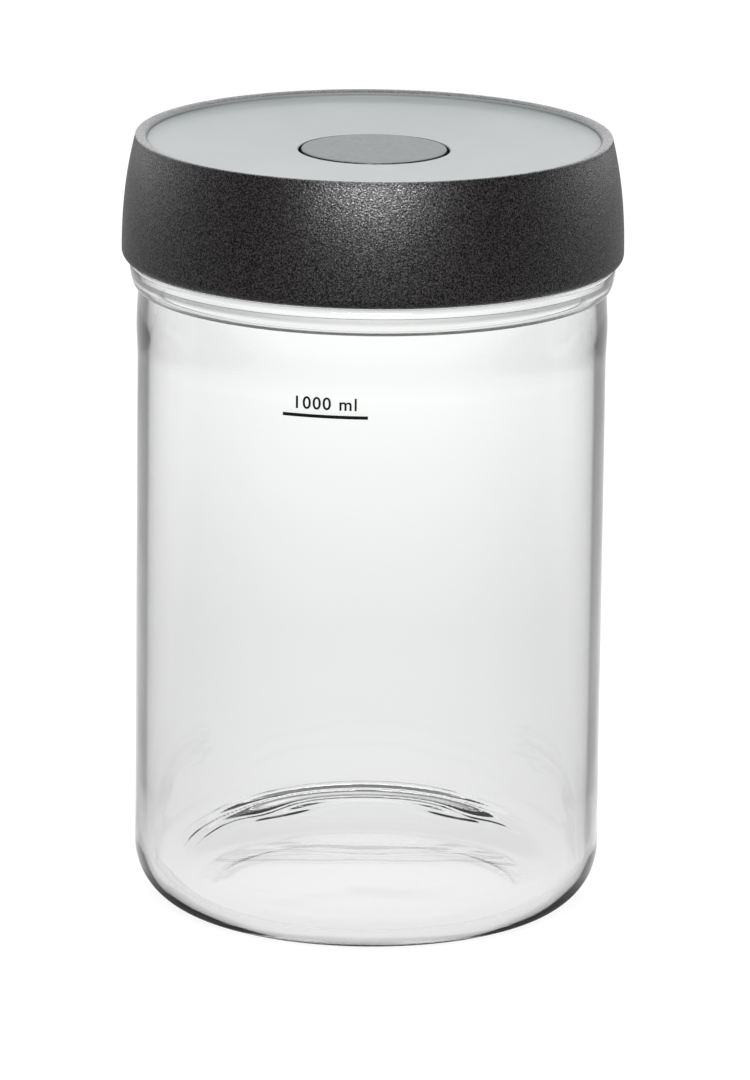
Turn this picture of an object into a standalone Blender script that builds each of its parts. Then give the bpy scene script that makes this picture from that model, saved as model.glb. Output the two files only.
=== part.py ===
"""Fermentation jar: a glass jar with a screw lid and a lifting vent valve.

Units are metres, +Z is up, and the jar stands on the plane Z = 0 with its axis on Z.
"""
import math

import bmesh
import bpy

# Glass body
BODY_DIAMETER = 0.1065
GLASS_WALL = 0.0024
JAR_HEIGHT = 0.1686
HEEL_RADIUS = 0.0155
FLOOR_CORNER_RADIUS = 0.0125
FOOT_RING_WIDTH = 0.0040
BASE_THICKNESS = 0.0030
PUNT_RISE = 0.0030
PUNT_STEP = 0.0014
PUNT_STEP_WIDTH = 0.0030

# Shoulder, bead and neck
SHOULDER_LENGTH = 0.0160
SHOULDER_SWELL = 0.0003
BEAD_HEIGHT = 0.0061
BEAD_OVERHANG = 0.0019
BEAD_CORNER = 0.0009
NECK_HEIGHT = 0.0182
NECK_INSET = 0.0030
NECK_WALL = 0.0028
NECK_ROOT_RADIUS = 0.0008
RIM_ROUNDING = 0.0010

# Thread between the neck and the liner
THREAD_STARTS = 3
THREAD_LEAD = 0.0120
THREAD_BEAD_RADIUS = 0.00075
THREAD_BEAD_SINK = 0.0002
THREAD_CREST_GAP = 0.0005
THREAD_FLANK_GAP = 0.0003
NECK_THREAD_ARC = 130.0
LINER_THREAD_ARC = 90.0
NECK_THREAD_START = 0.0046
LINER_THREAD_LAG = 20.0
THREAD_RUNOUT = 3

# Lid
SEAT_GAP = 0.0003
RING_THICKNESS = 0.0024
RING_CORNER = 0.0005
RING_INNER_LAP = 0.0006
RETAINER_WIDTH = 0.0015
RETAINER_DEPTH = 0.0018
LINER_CEILING = 0.0018
LINER_WALL = 0.0016
LINER_EDGE_GAP = 0.0015
LINER_CORNER = 0.0010
SHELL_WALL = 0.00305
SHELL_PLATE = 0.0021
SHELL_EDGE_GAP = 0.0004
SHELL_EDGE_RADIUS = 0.0015
SHELL_TAPER = 0.0022
SHELL_TAPER_POWER = 1.9
SHELL_STRAIGHT = 0.0067
SNAP_LIP_DEPTH = 0.0008
SNAP_LIP_WIDTH = 0.0007
RIM_BAND = 0.0031
RIM_EDGE_RADIUS = 0.0005
RECESS_DEPTH = 0.0034
RECESS_FILLET = 0.0023

# Vent valve in the middle of the lid
BUTTON_DIAMETER = 0.0340
BUTTON_THICKNESS = 0.0022
BUTTON_PROUD = 0.0004
BUTTON_EDGE_RADIUS = 0.0005
BUTTON_GAP = 0.0009
POCKET_WALL = 0.0016
POCKET_FLOOR = 0.0018
POCKET_EXTRA = 0.0005
VALVE_SEAL_DIAMETER = 0.0280
VALVE_SEAL_THICKNESS = 0.0020
VALVE_SEAL_LIP = 0.0015
VALVE_SEAL_CHANNEL = 0.0008
HUB_DIAMETER = 0.0054
STEM_DIAMETER = 0.0040
VALVE_LIFT = 0.0012
VENT_COUNT = 6
VENT_DIAMETER = 0.0024
CLIP_DIAMETER = 0.0080
CLIP_THICKNESS = 0.0008
CLIP_GROOVE_DEPTH = 0.0006
CLIP_MOUTH = 0.0022
STEM_TIP = 0.0009

# Fineness of the round shapes
WIDE_STEPS = 60
SMALL_STEPS = 32
THREAD_STEP = 7.5
CUT_OVERLAP = 0.0005
MERGE_DISTANCE = 0.000001

# Radii of the glass, worked out from the sizes above
body_radius = BODY_DIAMETER / 2
bore_radius = body_radius - GLASS_WALL
bead_radius = body_radius + BEAD_OVERHANG
neck_radius = body_radius - NECK_INSET
mouth_radius = neck_radius - NECK_WALL
foot_radius = body_radius - HEEL_RADIUS
foot_inner_radius = foot_radius - FOOT_RING_WIDTH

# Radii of the lid
thread_depth = 2 * THREAD_BEAD_RADIUS - THREAD_BEAD_SINK
liner_bore_radius = neck_radius + thread_depth + THREAD_CREST_GAP
liner_radius = liner_bore_radius + LINER_WALL
shell_bore_radius = liner_radius + SEAT_GAP
shell_radius = shell_bore_radius + SHELL_WALL
ring_outer_radius = liner_bore_radius - SEAT_GAP
ring_inner_radius = mouth_radius - RING_INNER_LAP
retainer_radius = ring_inner_radius - SEAT_GAP

# Radii of the valve
button_radius = BUTTON_DIAMETER / 2
well_radius = button_radius + BUTTON_GAP
pocket_radius = well_radius + POCKET_EXTRA
hub_radius = HUB_DIAMETER / 2
stem_radius = STEM_DIAMETER / 2
stem_bore_radius = stem_radius + SEAT_GAP
seal_radius = VALVE_SEAL_DIAMETER / 2
seal_bore_radius = hub_radius + SEAT_GAP
vent_radius = VENT_DIAMETER / 2
vent_pitch_radius = (seal_bore_radius + seal_radius) / 2
groove_radius = stem_radius - CLIP_GROOVE_DEPTH
clip_bore_radius = groove_radius + SEAT_GAP

# Heights above the table
bead_top = JAR_HEIGHT - NECK_HEIGHT
bead_bottom = bead_top - BEAD_HEIGHT
ring_bottom = JAR_HEIGHT + SEAT_GAP
ceiling_bottom = ring_bottom + RING_THICKNESS + SEAT_GAP
ceiling_top = ceiling_bottom + LINER_CEILING
plate_bottom = ceiling_top + SEAT_GAP
plate_top = plate_bottom + SHELL_PLATE
rim_top = plate_top + RECESS_DEPTH
shell_bottom = bead_top + SHELL_EDGE_GAP
liner_bottom = bead_top + LINER_EDGE_GAP
button_bottom = plate_top + BUTTON_PROUD - BUTTON_THICKNESS
seal_bottom = button_bottom - SEAT_GAP - VALVE_SEAL_THICKNESS
pocket_top = seal_bottom - SEAT_GAP
pocket_bottom = pocket_top - POCKET_FLOOR
clip_top = pocket_bottom - VALVE_LIFT - SEAT_GAP

MATERIALS = {
    "clear_glass": ((0.88, 0.92, 0.91), 0.02, 0.0, 1.0),
    "charcoal_plastic": ((0.045, 0.045, 0.048), 0.45, 0.0, 0.0),
    "grey_plastic": ((0.30, 0.31, 0.32), 0.50, 0.0, 0.0),
    "white_plastic": ((0.75, 0.75, 0.73), 0.45, 0.0, 0.0),
    "silicone": ((0.62, 0.64, 0.64), 0.55, 0.0, 0.0),
    "spring_steel": ((0.60, 0.60, 0.60), 0.30, 1.0, 0.0),
}


def clear_objects():
    """Empty the scene."""
    for old in list(bpy.data.objects):
        bpy.data.objects.remove(old, do_unlink=True)


def new_collection(name):
    """Make a collection in the scene."""
    collection = bpy.data.collections.new(name)
    bpy.context.scene.collection.children.link(collection)
    return collection


def make_material(name):
    """Make one plain material from its colour, roughness, metal and transmission values."""
    colour, roughness, metallic, transmission = MATERIALS[name]
    material = bpy.data.materials.new(name)
    material.use_nodes = True
    shader = material.node_tree.nodes["Principled BSDF"]
    shader.inputs["Base Color"].default_value = (*colour, 1.0)
    shader.inputs["Roughness"].default_value = roughness
    shader.inputs["Metallic"].default_value = metallic
    shader.inputs["Transmission Weight"].default_value = transmission
    return material


def arc(centre_r, centre_z, radius, start, end, count):
    """Points along an arc of a profile, with angles in degrees from the outward direction."""
    points = []
    for index in range(count + 1):
        angle = math.radians(start + (end - start) * index / count)
        points.append((centre_r + radius * math.cos(angle), centre_z + radius * math.sin(angle)))
    return points


def ease(start, end, count):
    """Points of a smooth S-shaped step from one profile point to another, ends left out."""
    points = []
    for index in range(1, count):
        share = index / count
        across = (1 - math.cos(math.pi * share)) / 2
        points.append((start[0] + (end[0] - start[0]) * across, start[1] + (end[1] - start[1]) * share))
    return points


def turned(name, profile, datum, steps, closed=True):
    """Turn a profile of (radius, height) points about Z, with its own zero at the datum height."""
    mesh = bpy.data.meshes.new(name)
    points = [(radius, 0.0, height - datum) for radius, height in profile]
    edges = [(index, index + 1) for index in range(len(points) - 1)]
    if closed:
        edges.append((len(points) - 1, 0))
    mesh.from_pydata(points, edges, [])
    piece = bpy.data.objects.new(name, mesh)
    piece.location.z = datum
    parts.objects.link(piece)
    screw = piece.modifiers.new("turn", "SCREW")
    screw.steps = steps
    screw.render_steps = steps
    screw.use_merge_vertices = True
    screw.merge_threshold = MERGE_DISTANCE
    screw.use_smooth_shade = True
    return piece


def into_mesh(piece):
    """Make an object's evaluated shape its own mesh, with loose caps and doubles welded."""
    graph = bpy.context.evaluated_depsgraph_get()
    graph.update()
    mesh = bpy.data.meshes.new_from_object(piece.evaluated_get(graph))
    shape = bmesh.new()
    shape.from_mesh(mesh)
    bmesh.ops.remove_doubles(shape, verts=shape.verts, dist=MERGE_DISTANCE)
    shape.to_mesh(mesh)
    shape.free()
    made = bpy.data.objects.new(piece.name + "_mesh", mesh)
    made.matrix_world = piece.matrix_world.copy()
    tools.objects.link(made)
    bpy.data.objects.remove(piece, do_unlink=True)
    return made


def combine(piece, tool, operation):
    """Join a tool to a piece, or cut it out, and hide the tool."""
    tool.hide_render = True
    tool.display_type = "WIRE"
    boolean = piece.modifiers.new(operation.lower() + "_" + tool.name, "BOOLEAN")
    boolean.object = tool
    boolean.operation = operation
    boolean.solver = "EXACT"


def cylinder_tool(name, radius, bottom, top, place=(0.0, 0.0)):
    """A plain cylinder to cut with."""
    bpy.ops.mesh.primitive_cylinder_add(vertices=16, radius=radius, depth=top - bottom,
                                        location=(*place, (top + bottom) / 2))
    return move_to_tools(bpy.context.object, name)


def box_tool(name, size, centre):
    """A plain box to cut with."""
    bpy.ops.mesh.primitive_cube_add(size=1.0, location=centre)
    box = bpy.context.object
    box.scale = size
    bpy.ops.object.transform_apply(location=False, rotation=False, scale=True)
    return move_to_tools(box, name)


def move_to_tools(piece, name):
    """Name a new object and keep it with the tools."""
    piece.name = name
    for collection in list(piece.users_collection):
        collection.objects.unlink(piece)
    tools.objects.link(piece)
    return piece


def thread_ridge(name, surface_radius, outward, start_angle, arc_degrees, start_height):
    """One raised thread ridge that climbs a wall as it turns, thinning out at both ends."""
    count = round(arc_degrees / THREAD_STEP)
    curve = bpy.data.curves.new(name, "CURVE")
    curve.dimensions = "3D"
    curve.bevel_depth = THREAD_BEAD_RADIUS
    curve.bevel_resolution = 1
    curve.use_fill_caps = True
    spline = curve.splines.new("POLY")
    spline.points.add(count)
    for index, point in enumerate(spline.points):
        turn = arc_degrees * index / count
        angle = math.radians(start_angle + turn)
        height = start_height + THREAD_LEAD * turn / 360
        runout = min(1.0, (1 + min(index, count - index)) / (THREAD_RUNOUT + 1))
        bead = THREAD_BEAD_RADIUS * runout
        reach = surface_radius + outward * (bead - THREAD_BEAD_SINK)
        point.co = (reach * math.cos(angle), reach * math.sin(angle), height, 1.0)
        point.radius = runout
    ridge = bpy.data.objects.new(name, curve)
    tools.objects.link(ridge)
    return into_mesh(ridge)


def add_thread(piece, label, surface_radius, outward, first_angle, arc_degrees, start_height):
    """Join one ridge for each start of the thread."""
    for start in range(THREAD_STARTS):
        angle = first_angle + 360 * start / THREAD_STARTS
        ridge = thread_ridge(f"{label}_ridge_{start + 1}", surface_radius, outward, angle,
                             arc_degrees, start_height)
        combine(piece, ridge, "UNION")


def jar_profile():
    """The glass from the middle of its floor, up inside, over the rim and down outside."""
    shoulder_top = bead_bottom - BEAD_OVERHANG / 2
    shoulder_bottom = shoulder_top - SHOULDER_LENGTH
    floor_edge = BASE_THICKNESS
    corner_r = bore_radius - FLOOR_CORNER_RADIUS
    inside = [(0.0, floor_edge + PUNT_RISE), (corner_r / 2, floor_edge + PUNT_RISE * 0.75)]
    inside += arc(corner_r, floor_edge + FLOOR_CORNER_RADIUS, FLOOR_CORNER_RADIUS, -90, 0, 5)
    neck_in = ((bore_radius, shoulder_bottom), (mouth_radius, bead_bottom))
    inside += [neck_in[0]] + ease(*neck_in, 5) + [neck_in[1]]
    rim = arc(mouth_radius + RIM_ROUNDING, JAR_HEIGHT - RIM_ROUNDING, RIM_ROUNDING, 180, 90, 2)
    rim += arc(neck_radius - RIM_ROUNDING, JAR_HEIGHT - RIM_ROUNDING, RIM_ROUNDING, 90, 0, 2)
    bead = arc(neck_radius + NECK_ROOT_RADIUS, bead_top + NECK_ROOT_RADIUS, NECK_ROOT_RADIUS,
               180, 270, 2)
    bead += arc(bead_radius - BEAD_CORNER, bead_top - BEAD_CORNER, BEAD_CORNER, 90, 0, 3)
    bead_low = (bead_radius, bead_top - BEAD_HEIGHT / 2)
    waist = (body_radius, bead_bottom)
    bead += [bead_low] + ease(bead_low, waist, 4) + [waist]
    swell = (body_radius + SHOULDER_SWELL, (shoulder_top + shoulder_bottom) / 2)
    outside = [swell, (body_radius, shoulder_bottom)]
    outside += arc(foot_radius, HEEL_RADIUS, HEEL_RADIUS, 0, -90, 6)
    step = (foot_inner_radius - PUNT_STEP_WIDTH, PUNT_STEP)
    under = [(foot_inner_radius, 0.0), step]
    under += [(step[0] / 2, PUNT_STEP + (PUNT_RISE - PUNT_STEP) * 0.75), (0.0, PUNT_RISE)]
    return inside + rim + bead + outside + under


def make_glass_jar():
    """The glass vessel with its bead and the threads on its neck."""
    jar = turned("glass_jar", jar_profile(), 0.0, WIDE_STEPS, closed=False)
    add_thread(jar, "neck", neck_radius, 1, 0.0, NECK_THREAD_ARC, bead_top + NECK_THREAD_START)
    return jar


def make_sealing_ring():
    """The silicone ring that the lid presses on the glass rim."""
    corner = RING_CORNER
    top = ring_bottom + RING_THICKNESS
    profile = arc(ring_outer_radius - corner, top - corner, corner, 90, 0, 2)
    profile += arc(ring_outer_radius - corner, ring_bottom + corner, corner, 0, -90, 2)
    profile += arc(ring_inner_radius + corner, ring_bottom + corner, corner, 270, 180, 2)
    profile += arc(ring_inner_radius + corner, top - corner, corner, 180, 90, 2)
    return turned("sealing_ring", profile, ring_bottom, WIDE_STEPS)


def make_lid_liner():
    """The inner cap: threaded wall, ceiling, ring retainer and the pocket for the valve."""
    retainer_bottom = ceiling_bottom - RETAINER_DEPTH
    pocket_outer = pocket_radius + POCKET_WALL
    profile = arc(liner_radius - LINER_CORNER, ceiling_top - LINER_CORNER, LINER_CORNER, 90, 0, 2)
    profile += [
        (liner_radius, liner_bottom),
        (liner_bore_radius, liner_bottom),
        (liner_bore_radius, ceiling_bottom),
        (retainer_radius, ceiling_bottom),
        (retainer_radius, retainer_bottom),
        (retainer_radius - RETAINER_WIDTH, retainer_bottom),
        (retainer_radius - RETAINER_WIDTH, ceiling_bottom),
        (pocket_outer, ceiling_bottom),
        (pocket_outer, pocket_bottom),
        (stem_bore_radius, pocket_bottom),
        (stem_bore_radius, pocket_top),
        (pocket_radius, pocket_top),
        (pocket_radius, ceiling_top),
    ]
    liner = turned("lid_liner", profile, ceiling_bottom, WIDE_STEPS)
    for index in range(VENT_COUNT):
        angle = 2 * math.pi * index / VENT_COUNT
        place = (vent_pitch_radius * math.cos(angle), vent_pitch_radius * math.sin(angle))
        vent = cylinder_tool(f"vent_{index + 1}", vent_radius, pocket_bottom - CUT_OVERLAP,
                             pocket_top + CUT_OVERLAP, place)
        combine(liner, vent, "DIFFERENCE")
    drop = 2 * THREAD_BEAD_RADIUS + THREAD_FLANK_GAP
    lag_rise = THREAD_LEAD * LINER_THREAD_LAG / 360
    height = bead_top + NECK_THREAD_START - drop + lag_rise
    add_thread(liner, "liner", liner_bore_radius, -1, LINER_THREAD_LAG, LINER_THREAD_ARC, height)
    return liner


def shell_side_radius(height):
    """Outer radius of the skirt, straight below and drawn in towards the rim."""
    straight_top = shell_bottom + SHELL_STRAIGHT
    share = max(0.0, (height - straight_top) / (rim_top - straight_top))
    return shell_radius - SHELL_TAPER * share ** SHELL_TAPER_POWER


def shell_profile():
    """The outer shell from its rim, down the skirt, up inside and out over its top."""
    rim_radius = shell_side_radius(rim_top - RIM_EDGE_RADIUS)
    recess_radius = rim_radius - RIM_BAND
    edge = SHELL_EDGE_RADIUS
    side = arc(rim_radius - RIM_EDGE_RADIUS, rim_top - RIM_EDGE_RADIUS, RIM_EDGE_RADIUS, 90, 0, 2)
    side_top = rim_top - RIM_EDGE_RADIUS
    side_bottom = shell_bottom + SHELL_STRAIGHT
    for index in range(1, 6):
        height = side_top + (side_bottom - side_top) * index / 5
        side.append((shell_side_radius(height), height))
    side += arc(shell_radius - edge, shell_bottom + edge, edge, 0, -90, 3)
    lip_top = shell_bottom + SNAP_LIP_DEPTH
    inside = [
        (shell_bore_radius - SNAP_LIP_WIDTH, shell_bottom),
        (shell_bore_radius - SNAP_LIP_WIDTH, lip_top),
        (shell_bore_radius, lip_top),
        (shell_bore_radius, plate_bottom - LINER_CORNER),
        (shell_bore_radius - LINER_CORNER, plate_bottom),
        (well_radius, plate_bottom),
    ]
    top = [(well_radius, plate_top)]
    top += arc(recess_radius - RECESS_FILLET, plate_top + RECESS_FILLET, RECESS_FILLET, -90, 0, 4)
    top += arc(recess_radius + RIM_EDGE_RADIUS, rim_top - RIM_EDGE_RADIUS, RIM_EDGE_RADIUS,
               180, 90, 2)
    return side + inside + top


def make_lid_shell():
    """The outer shell of the lid: skirt, rim and recessed top with the well for the button."""
    return turned("lid_shell", shell_profile(), plate_bottom, WIDE_STEPS)


def make_valve_cap():
    """The round button in the lid with the hub and grooved stem below it."""
    top = button_bottom + BUTTON_THICKNESS
    groove_top = clip_top + SEAT_GAP
    groove_bottom = clip_top - CLIP_THICKNESS - SEAT_GAP
    edge = BUTTON_EDGE_RADIUS
    profile = [(0.0, top)]
    profile += arc(button_radius - edge, top - edge, edge, 90, 0, 3)
    profile += [
        (button_radius, button_bottom),
        (hub_radius, button_bottom),
        (hub_radius, seal_bottom),
        (stem_radius, seal_bottom),
        (stem_radius, groove_top),
        (groove_radius, groove_top),
        (groove_radius, groove_bottom),
        (stem_radius, groove_bottom),
        (stem_radius, groove_bottom - STEM_TIP),
        (0.0, groove_bottom - STEM_TIP),
    ]
    return turned("valve_cap", profile, button_bottom, SMALL_STEPS, closed=False)


def make_valve_seal():
    """The silicone disc whose two lips close the vents round the stem."""
    top = seal_bottom + VALVE_SEAL_THICKNESS
    channel = seal_bottom + VALVE_SEAL_CHANNEL
    profile = [
        (seal_radius, top),
        (seal_radius, seal_bottom),
        (seal_radius - VALVE_SEAL_LIP, seal_bottom),
        (seal_radius - VALVE_SEAL_LIP, channel),
        (seal_bore_radius + VALVE_SEAL_LIP, channel),
        (seal_bore_radius + VALVE_SEAL_LIP, seal_bottom),
        (seal_bore_radius, seal_bottom),
        (seal_bore_radius, top),
    ]
    return turned("valve_seal", profile, seal_bottom, SMALL_STEPS)


def make_valve_clip():
    """The open clip in the stem's groove that keeps the valve in the lid."""
    bottom = clip_top - CLIP_THICKNESS
    outer = CLIP_DIAMETER / 2
    profile = [(outer, clip_top), (outer, bottom), (clip_bore_radius, bottom),
               (clip_bore_radius, clip_top)]
    clip = turned("valve_clip", profile, bottom, SMALL_STEPS)
    size = (outer + CUT_OVERLAP, CLIP_MOUTH, CLIP_THICKNESS + 2 * CUT_OVERLAP)
    mouth = box_tool("clip_mouth", size, (size[0] / 2, 0.0, (clip_top + bottom) / 2))
    combine(clip, mouth, "DIFFERENCE")
    return clip


def carrier(name, height, parent=None):
    """An empty on the jar's axis that carries the pieces which move together."""
    empty = bpy.data.objects.new(name, None)
    empty.empty_display_size = BODY_DIAMETER / 4
    parts.objects.link(empty)
    empty.location.z = height
    if parent:
        attach(empty, parent)
    return empty


def attach(piece, parent):
    """Parent a piece without moving it."""
    bpy.context.view_layer.update()
    piece.parent = parent
    piece.matrix_parent_inverse = parent.matrix_world.inverted()


def finish(piece, material_name):
    """Give a piece its material."""
    piece.data.materials.clear()
    piece.data.materials.append(materials[material_name])


clear_objects()
parts = new_collection("fermentation_jar")
tools = new_collection("cutters")
materials = {name: make_material(name) for name in MATERIALS}

glass_jar = make_glass_jar()
sealing_ring = make_sealing_ring()
lid_liner = make_lid_liner()
lid_shell = make_lid_shell()
valve_cap = make_valve_cap()
valve_seal = make_valve_seal()
valve_clip = make_valve_clip()

finish(glass_jar, "clear_glass")
finish(sealing_ring, "silicone")
finish(lid_liner, "white_plastic")
finish(lid_shell, "charcoal_plastic")
finish(valve_cap, "grey_plastic")
finish(valve_seal, "silicone")
finish(valve_clip, "spring_steel")

lid_lift_axis = carrier("lid_lift_axis", ring_bottom)
lid_turn_axis = carrier("lid_turn_axis", ceiling_bottom, lid_lift_axis)
valve_axis = carrier("valve_axis", seal_bottom, lid_turn_axis)
attach(sealing_ring, lid_lift_axis)
for lid_piece in (lid_liner, lid_shell):
    attach(lid_piece, lid_turn_axis)
for valve_piece in (valve_cap, valve_seal, valve_clip):
    attach(valve_piece, valve_axis)
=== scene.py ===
"""Looks of the fermentation jar: clear glass, grained dark lid, matt vent button and printed fill line.

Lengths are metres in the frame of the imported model: +Z up, the jar's axis on Z, the viewer at -Y.
"""
import math

import bmesh
import bpy
from mathutils import Euler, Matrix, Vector


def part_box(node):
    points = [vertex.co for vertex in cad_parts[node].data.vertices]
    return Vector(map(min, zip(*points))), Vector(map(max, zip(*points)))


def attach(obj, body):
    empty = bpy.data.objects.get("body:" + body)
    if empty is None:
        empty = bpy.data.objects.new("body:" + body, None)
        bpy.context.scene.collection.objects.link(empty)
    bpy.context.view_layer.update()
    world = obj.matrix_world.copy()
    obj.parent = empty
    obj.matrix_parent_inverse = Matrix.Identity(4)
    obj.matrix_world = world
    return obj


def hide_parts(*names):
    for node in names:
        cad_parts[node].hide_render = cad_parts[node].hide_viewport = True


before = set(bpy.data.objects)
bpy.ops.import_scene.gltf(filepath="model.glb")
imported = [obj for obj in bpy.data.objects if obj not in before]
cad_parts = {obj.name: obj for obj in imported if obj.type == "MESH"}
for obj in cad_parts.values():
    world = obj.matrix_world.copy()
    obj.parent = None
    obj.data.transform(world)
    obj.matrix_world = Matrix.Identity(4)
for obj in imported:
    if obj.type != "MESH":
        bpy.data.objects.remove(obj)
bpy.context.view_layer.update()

# Sizes that the frame gives
jar_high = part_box("glass_jar")[1]
shell_low, shell_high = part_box("lid_shell")
ring_low, ring_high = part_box("sealing_ring")
cap_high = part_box("valve_cap")[1]
seal_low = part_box("valve_seal")[0]
clip_low, clip_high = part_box("valve_clip")

# Glass
BEAD_OVERHANG = 0.0019
GLASS_WALL = 0.0024
HEEL_RADIUS = 0.0142
FLOOR_CORNER_RADIUS = 0.0118
FOOT_RING_WIDTH = 0.0040
BASE_THICKNESS = 0.0030
FLOOR_RISE = 0.0008
PUNT_RISE = 0.0005
PUNT_STEP = 0.00015
PUNT_STEP_WIDTH = 0.0030
PUNT_LAP = 0.0001
SHOULDER_LENGTH = 0.0160
SHOULDER_SWELL = 0.0003
BEAD_HEIGHT = 0.0061
BEAD_CORNER = 0.0009
BEAD_FACE = 0.0021
BEAD_LIP = 0.00038
BEAD_LIP_TURN = -50
BEAD_UNDERSIDE_START = 0.12
NECK_HEIGHT = 0.0182
NECK_INSET = 0.0030
NECK_WALL = 0.0028
NECK_ROOT_RADIUS = 0.0008
RIM_ROUNDING = 0.0010

# Thread on the neck, with the angles in degrees
THREAD_STARTS = 3
THREAD_LEAD = 0.0120
THREAD_BEAD_RADIUS = 0.00075
THREAD_DEPTH = 0.0013
THREAD_ARC = 130.0
THREAD_START_HEIGHT = 0.0046
THREAD_RUNOUT = 22.0
THREAD_RING_STEP = 0.00025

# Lid
SEAT_GAP = 0.0003
RING_CORNER = 0.0005
RING_INNER_LAP = 0.0006
LINER_CORNER = 0.0010
SHELL_WALL = 0.00305
SHELL_PLATE = 0.0021
SHELL_EDGE_RADIUS = 0.0021
SHELL_TAPER = 0.0030
SHELL_TAPER_POWER = 2.2
SHELL_STRAIGHT = 0.0023
SNAP_LIP_DEPTH = 0.0008
SNAP_LIP_WIDTH = 0.0007
RIM_BAND = 0.0027
RIM_EDGE_RADIUS = 0.0004
RIM_FALL = 0.0005
RIM_INNER_RADIUS = 0.0004
RIM_INNER_TURN = 112
RECESS_DEPTH = 0.0034
RECESS_FILLET_WIDTH = 0.0034
DISH_FALL = 0.0015
WELL_CHAMFER = 0.0002
SATIN_REACH = 0.0004
SATIN_DROP = 0.00005

# Vent valve
BUTTON_INSET = 0.0005
BUTTON_SINK = 0.0002
BUTTON_THICKNESS = 0.0022
BUTTON_EDGE_RADIUS = 0.0003
BUTTON_GAP = 0.0007
HUB_DIAMETER = 0.0054
STEM_DIAMETER = 0.0040
CLIP_GROOVE_DEPTH = 0.0006
STEM_TIP = 0.0009

# Radii
bead_radius = jar_high.x
body_radius = bead_radius - BEAD_OVERHANG
bore_radius = body_radius - GLASS_WALL
neck_radius = body_radius - NECK_INSET
mouth_radius = neck_radius - NECK_WALL
foot_radius = body_radius - HEEL_RADIUS
foot_inner_radius = foot_radius - FOOT_RING_WIDTH
shell_radius = shell_high.x
shell_bore_radius = shell_radius - SHELL_WALL
button_radius = cap_high.x - BUTTON_INSET
well_radius = button_radius + BUTTON_GAP
hub_radius = HUB_DIAMETER / 2
stem_radius = STEM_DIAMETER / 2
groove_radius = stem_radius - CLIP_GROOVE_DEPTH

# Heights
jar_top = jar_high.z
bead_top = jar_top - NECK_HEIGHT
bead_bottom = bead_top - BEAD_HEIGHT
bead_edge = bead_top - BEAD_FACE
thread_start = bead_top + THREAD_START_HEIGHT
thread_bottom = thread_start - THREAD_DEPTH
thread_top = thread_start + THREAD_LEAD * THREAD_ARC / 360 + THREAD_DEPTH
rim_top = shell_high.z
shell_bottom = shell_low.z
plate_top = rim_top - RECESS_DEPTH
plate_bottom = plate_top - SHELL_PLATE
dish_top = plate_top + DISH_FALL
fillet_top = rim_top - RIM_FALL - RIM_INNER_RADIUS
button_top = cap_high.z - BUTTON_SINK
button_bottom = button_top - BUTTON_THICKNESS
seal_bottom = seal_low.z

# Fineness
ROUND_STEPS = 240
SMALL_STEPS = 128
RING_CORNER_STEPS = 5
RIM_STEPS = 6
PUNT_EDGE_STEPS = 6
BUTTON_TOP_STEPS = 6
SHOULDER_STEPS = 8
BUTTON_EDGE_STEPS = 8
CORNER_STEPS = 10
BAND_STEPS = 10
DISH_STEPS = 12
PUNT_STEPS = 14
FLOOR_STEPS = 16
CURVE_STEPS = 20
TAPER_STEPS = 24
WAVE_STEPS = 40
HEEL_STEPS = 132
HEEL_END_STEPS = 8
HEEL_END_TURN = -66
SHARP_ANGLE = math.radians(40)
TINY = 1e-6
FACES_UP_A_LITTLE = 0.05
FACES_UP = 0.5

# Ripples and dents that settled in the back of the heel
WAVE_HEIGHT = 0.0101
WAVE_FALL = 0.0115
WAVE_PITCH = 0.0020
WAVE_SPREAD = 0.0021
WAVE_DEPTH = 0.0013
WAVE_REACH_LEFT = math.radians(68)
WAVE_REACH_RIGHT = math.radians(50)
WAVE_FADE = 0.6
DENT_ANGLES = (math.radians(-27), math.radians(28.5))
DENT_HEIGHT = 0.0069
DENT_DEPTH = 0.0028
DENT_HALF_WIDTH = math.radians(11)
DENT_HALF_HEIGHT = 0.0014

# Clear glass, and its painted shade: grey tones by how much edge on it is seen
GLASS_INDEX = 1.48
GLASS_WAVES = {"scale": 38.0, "depth": 0.00025}
EDGE_PAINTED_SHADE = ((0.0, 1.0), (0.06, 0.98), (0.11, 0.95), (0.22, 0.885), (0.31, 0.845), (0.50, 0.72),
             (0.585, 0.58), (0.63, 0.47), (0.68, 0.28), (0.705, 0.07), (0.72, 0.02), (1.0, 0.02))
EDGE_SHADE_HUE = (0.985, 1.0, 0.99)
EDGE_SHADE_LOW = 0.003
EDGE_SHADE_HIGH = 0.030
# Painted shade on the bead's lower band: darker the more edge on it is seen
BEAD_PAINTED_SHADE = ((0.0, 0.72), (0.03, 0.68), (0.165, 0.42), (0.33, 0.28), (0.60, 0.11), (0.75, 0.04),
             (1.0, 0.03))
BEAD_SHADE_DEPTH = 0.0017
BEAD_SHADE_MARGIN = 0.0002
OUTSIDE_MARGIN = 0.0008
STIPPLE = {"scale": 1100.0, "depth": 0.00003}
STIPPLE_ROUGHNESS = 0.03
STIPPLE_MARGIN = 0.001
STIPPLE_HEIGHT = 0.0006

# Parts of a pattern's range that carry its values
ROUGHNESS_RANGE = (0.3, 0.7)
COLOUR_RANGE = (0.35, 0.65)
GLOSS_RANGE = (0.42, 0.72)

# Grey plastics of the lid, with their darkest and lightest tones
CHARCOAL = (0.009, 0.0082, 0.0085)
CHARCOAL_TONES = ((0.0, 0.0, 0.0), (0.014, 0.0122, 0.0130))
SATIN = (0.108, 0.117, 0.119)
SATIN_TONES = ((0.103, 0.112, 0.114), (0.113, 0.122, 0.124))
SATIN_GLOSS = 0.5
# Reflection strength at the top of the recess's border: painted shade there
SATIN_BORDER_SHADE_GLOSS = 0.02
MATT = (0.058, 0.064, 0.067)
MATT_TONES = ((0.049, 0.055, 0.058), (0.067, 0.073, 0.076))

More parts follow.
